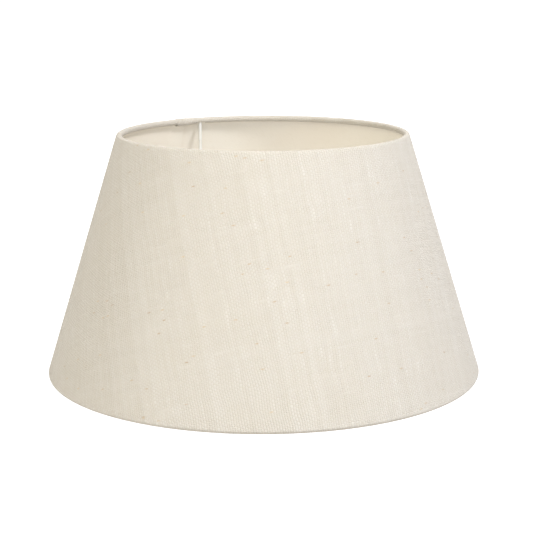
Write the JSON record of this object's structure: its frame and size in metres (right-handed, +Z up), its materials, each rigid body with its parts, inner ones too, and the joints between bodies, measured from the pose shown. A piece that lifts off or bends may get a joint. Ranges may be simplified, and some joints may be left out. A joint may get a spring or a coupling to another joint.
{
  "type": "lamp shade",
  "caption": "Round tapered hardback lamp shade in natural linen, its hems rolled over wire rings, with a recessed spider and a washer for a large screw lampholder.",
  "frame": {"origin": "centre of the circle that the lower rolled hem stands on", "axes": "+Z up along the shade's axis, towards the small opening; +X right and +Y back as the shade is looked at with its lap seam at the back left"},
  "size_m": [0.3, 0.3, 0.1663],
  "materials": {
    "linen": "natural off-white linen, open plain weave with slubs and flecks",
    "lining": "satin warm white styrene sheet",
    "tape": "translucent double-sided tape",
    "white_wire": "white powder coat on steel wire and washer"
  },
  "bodies": {
    "root": {"fabric_cover": "linen", "styrene_lining": "lining", "lap_seam_tape": "tape", "top_ring": "white_wire", "bottom_ring": "white_wire", "top_ring_tape": "tape", "bottom_ring_tape": "tape", "fitter_ring": "white_wire", "spider_arm_1": "white_wire", "spider_arm_2": "white_wire", "spider_arm_3": "white_wire"}
  },
  "joints": []
}
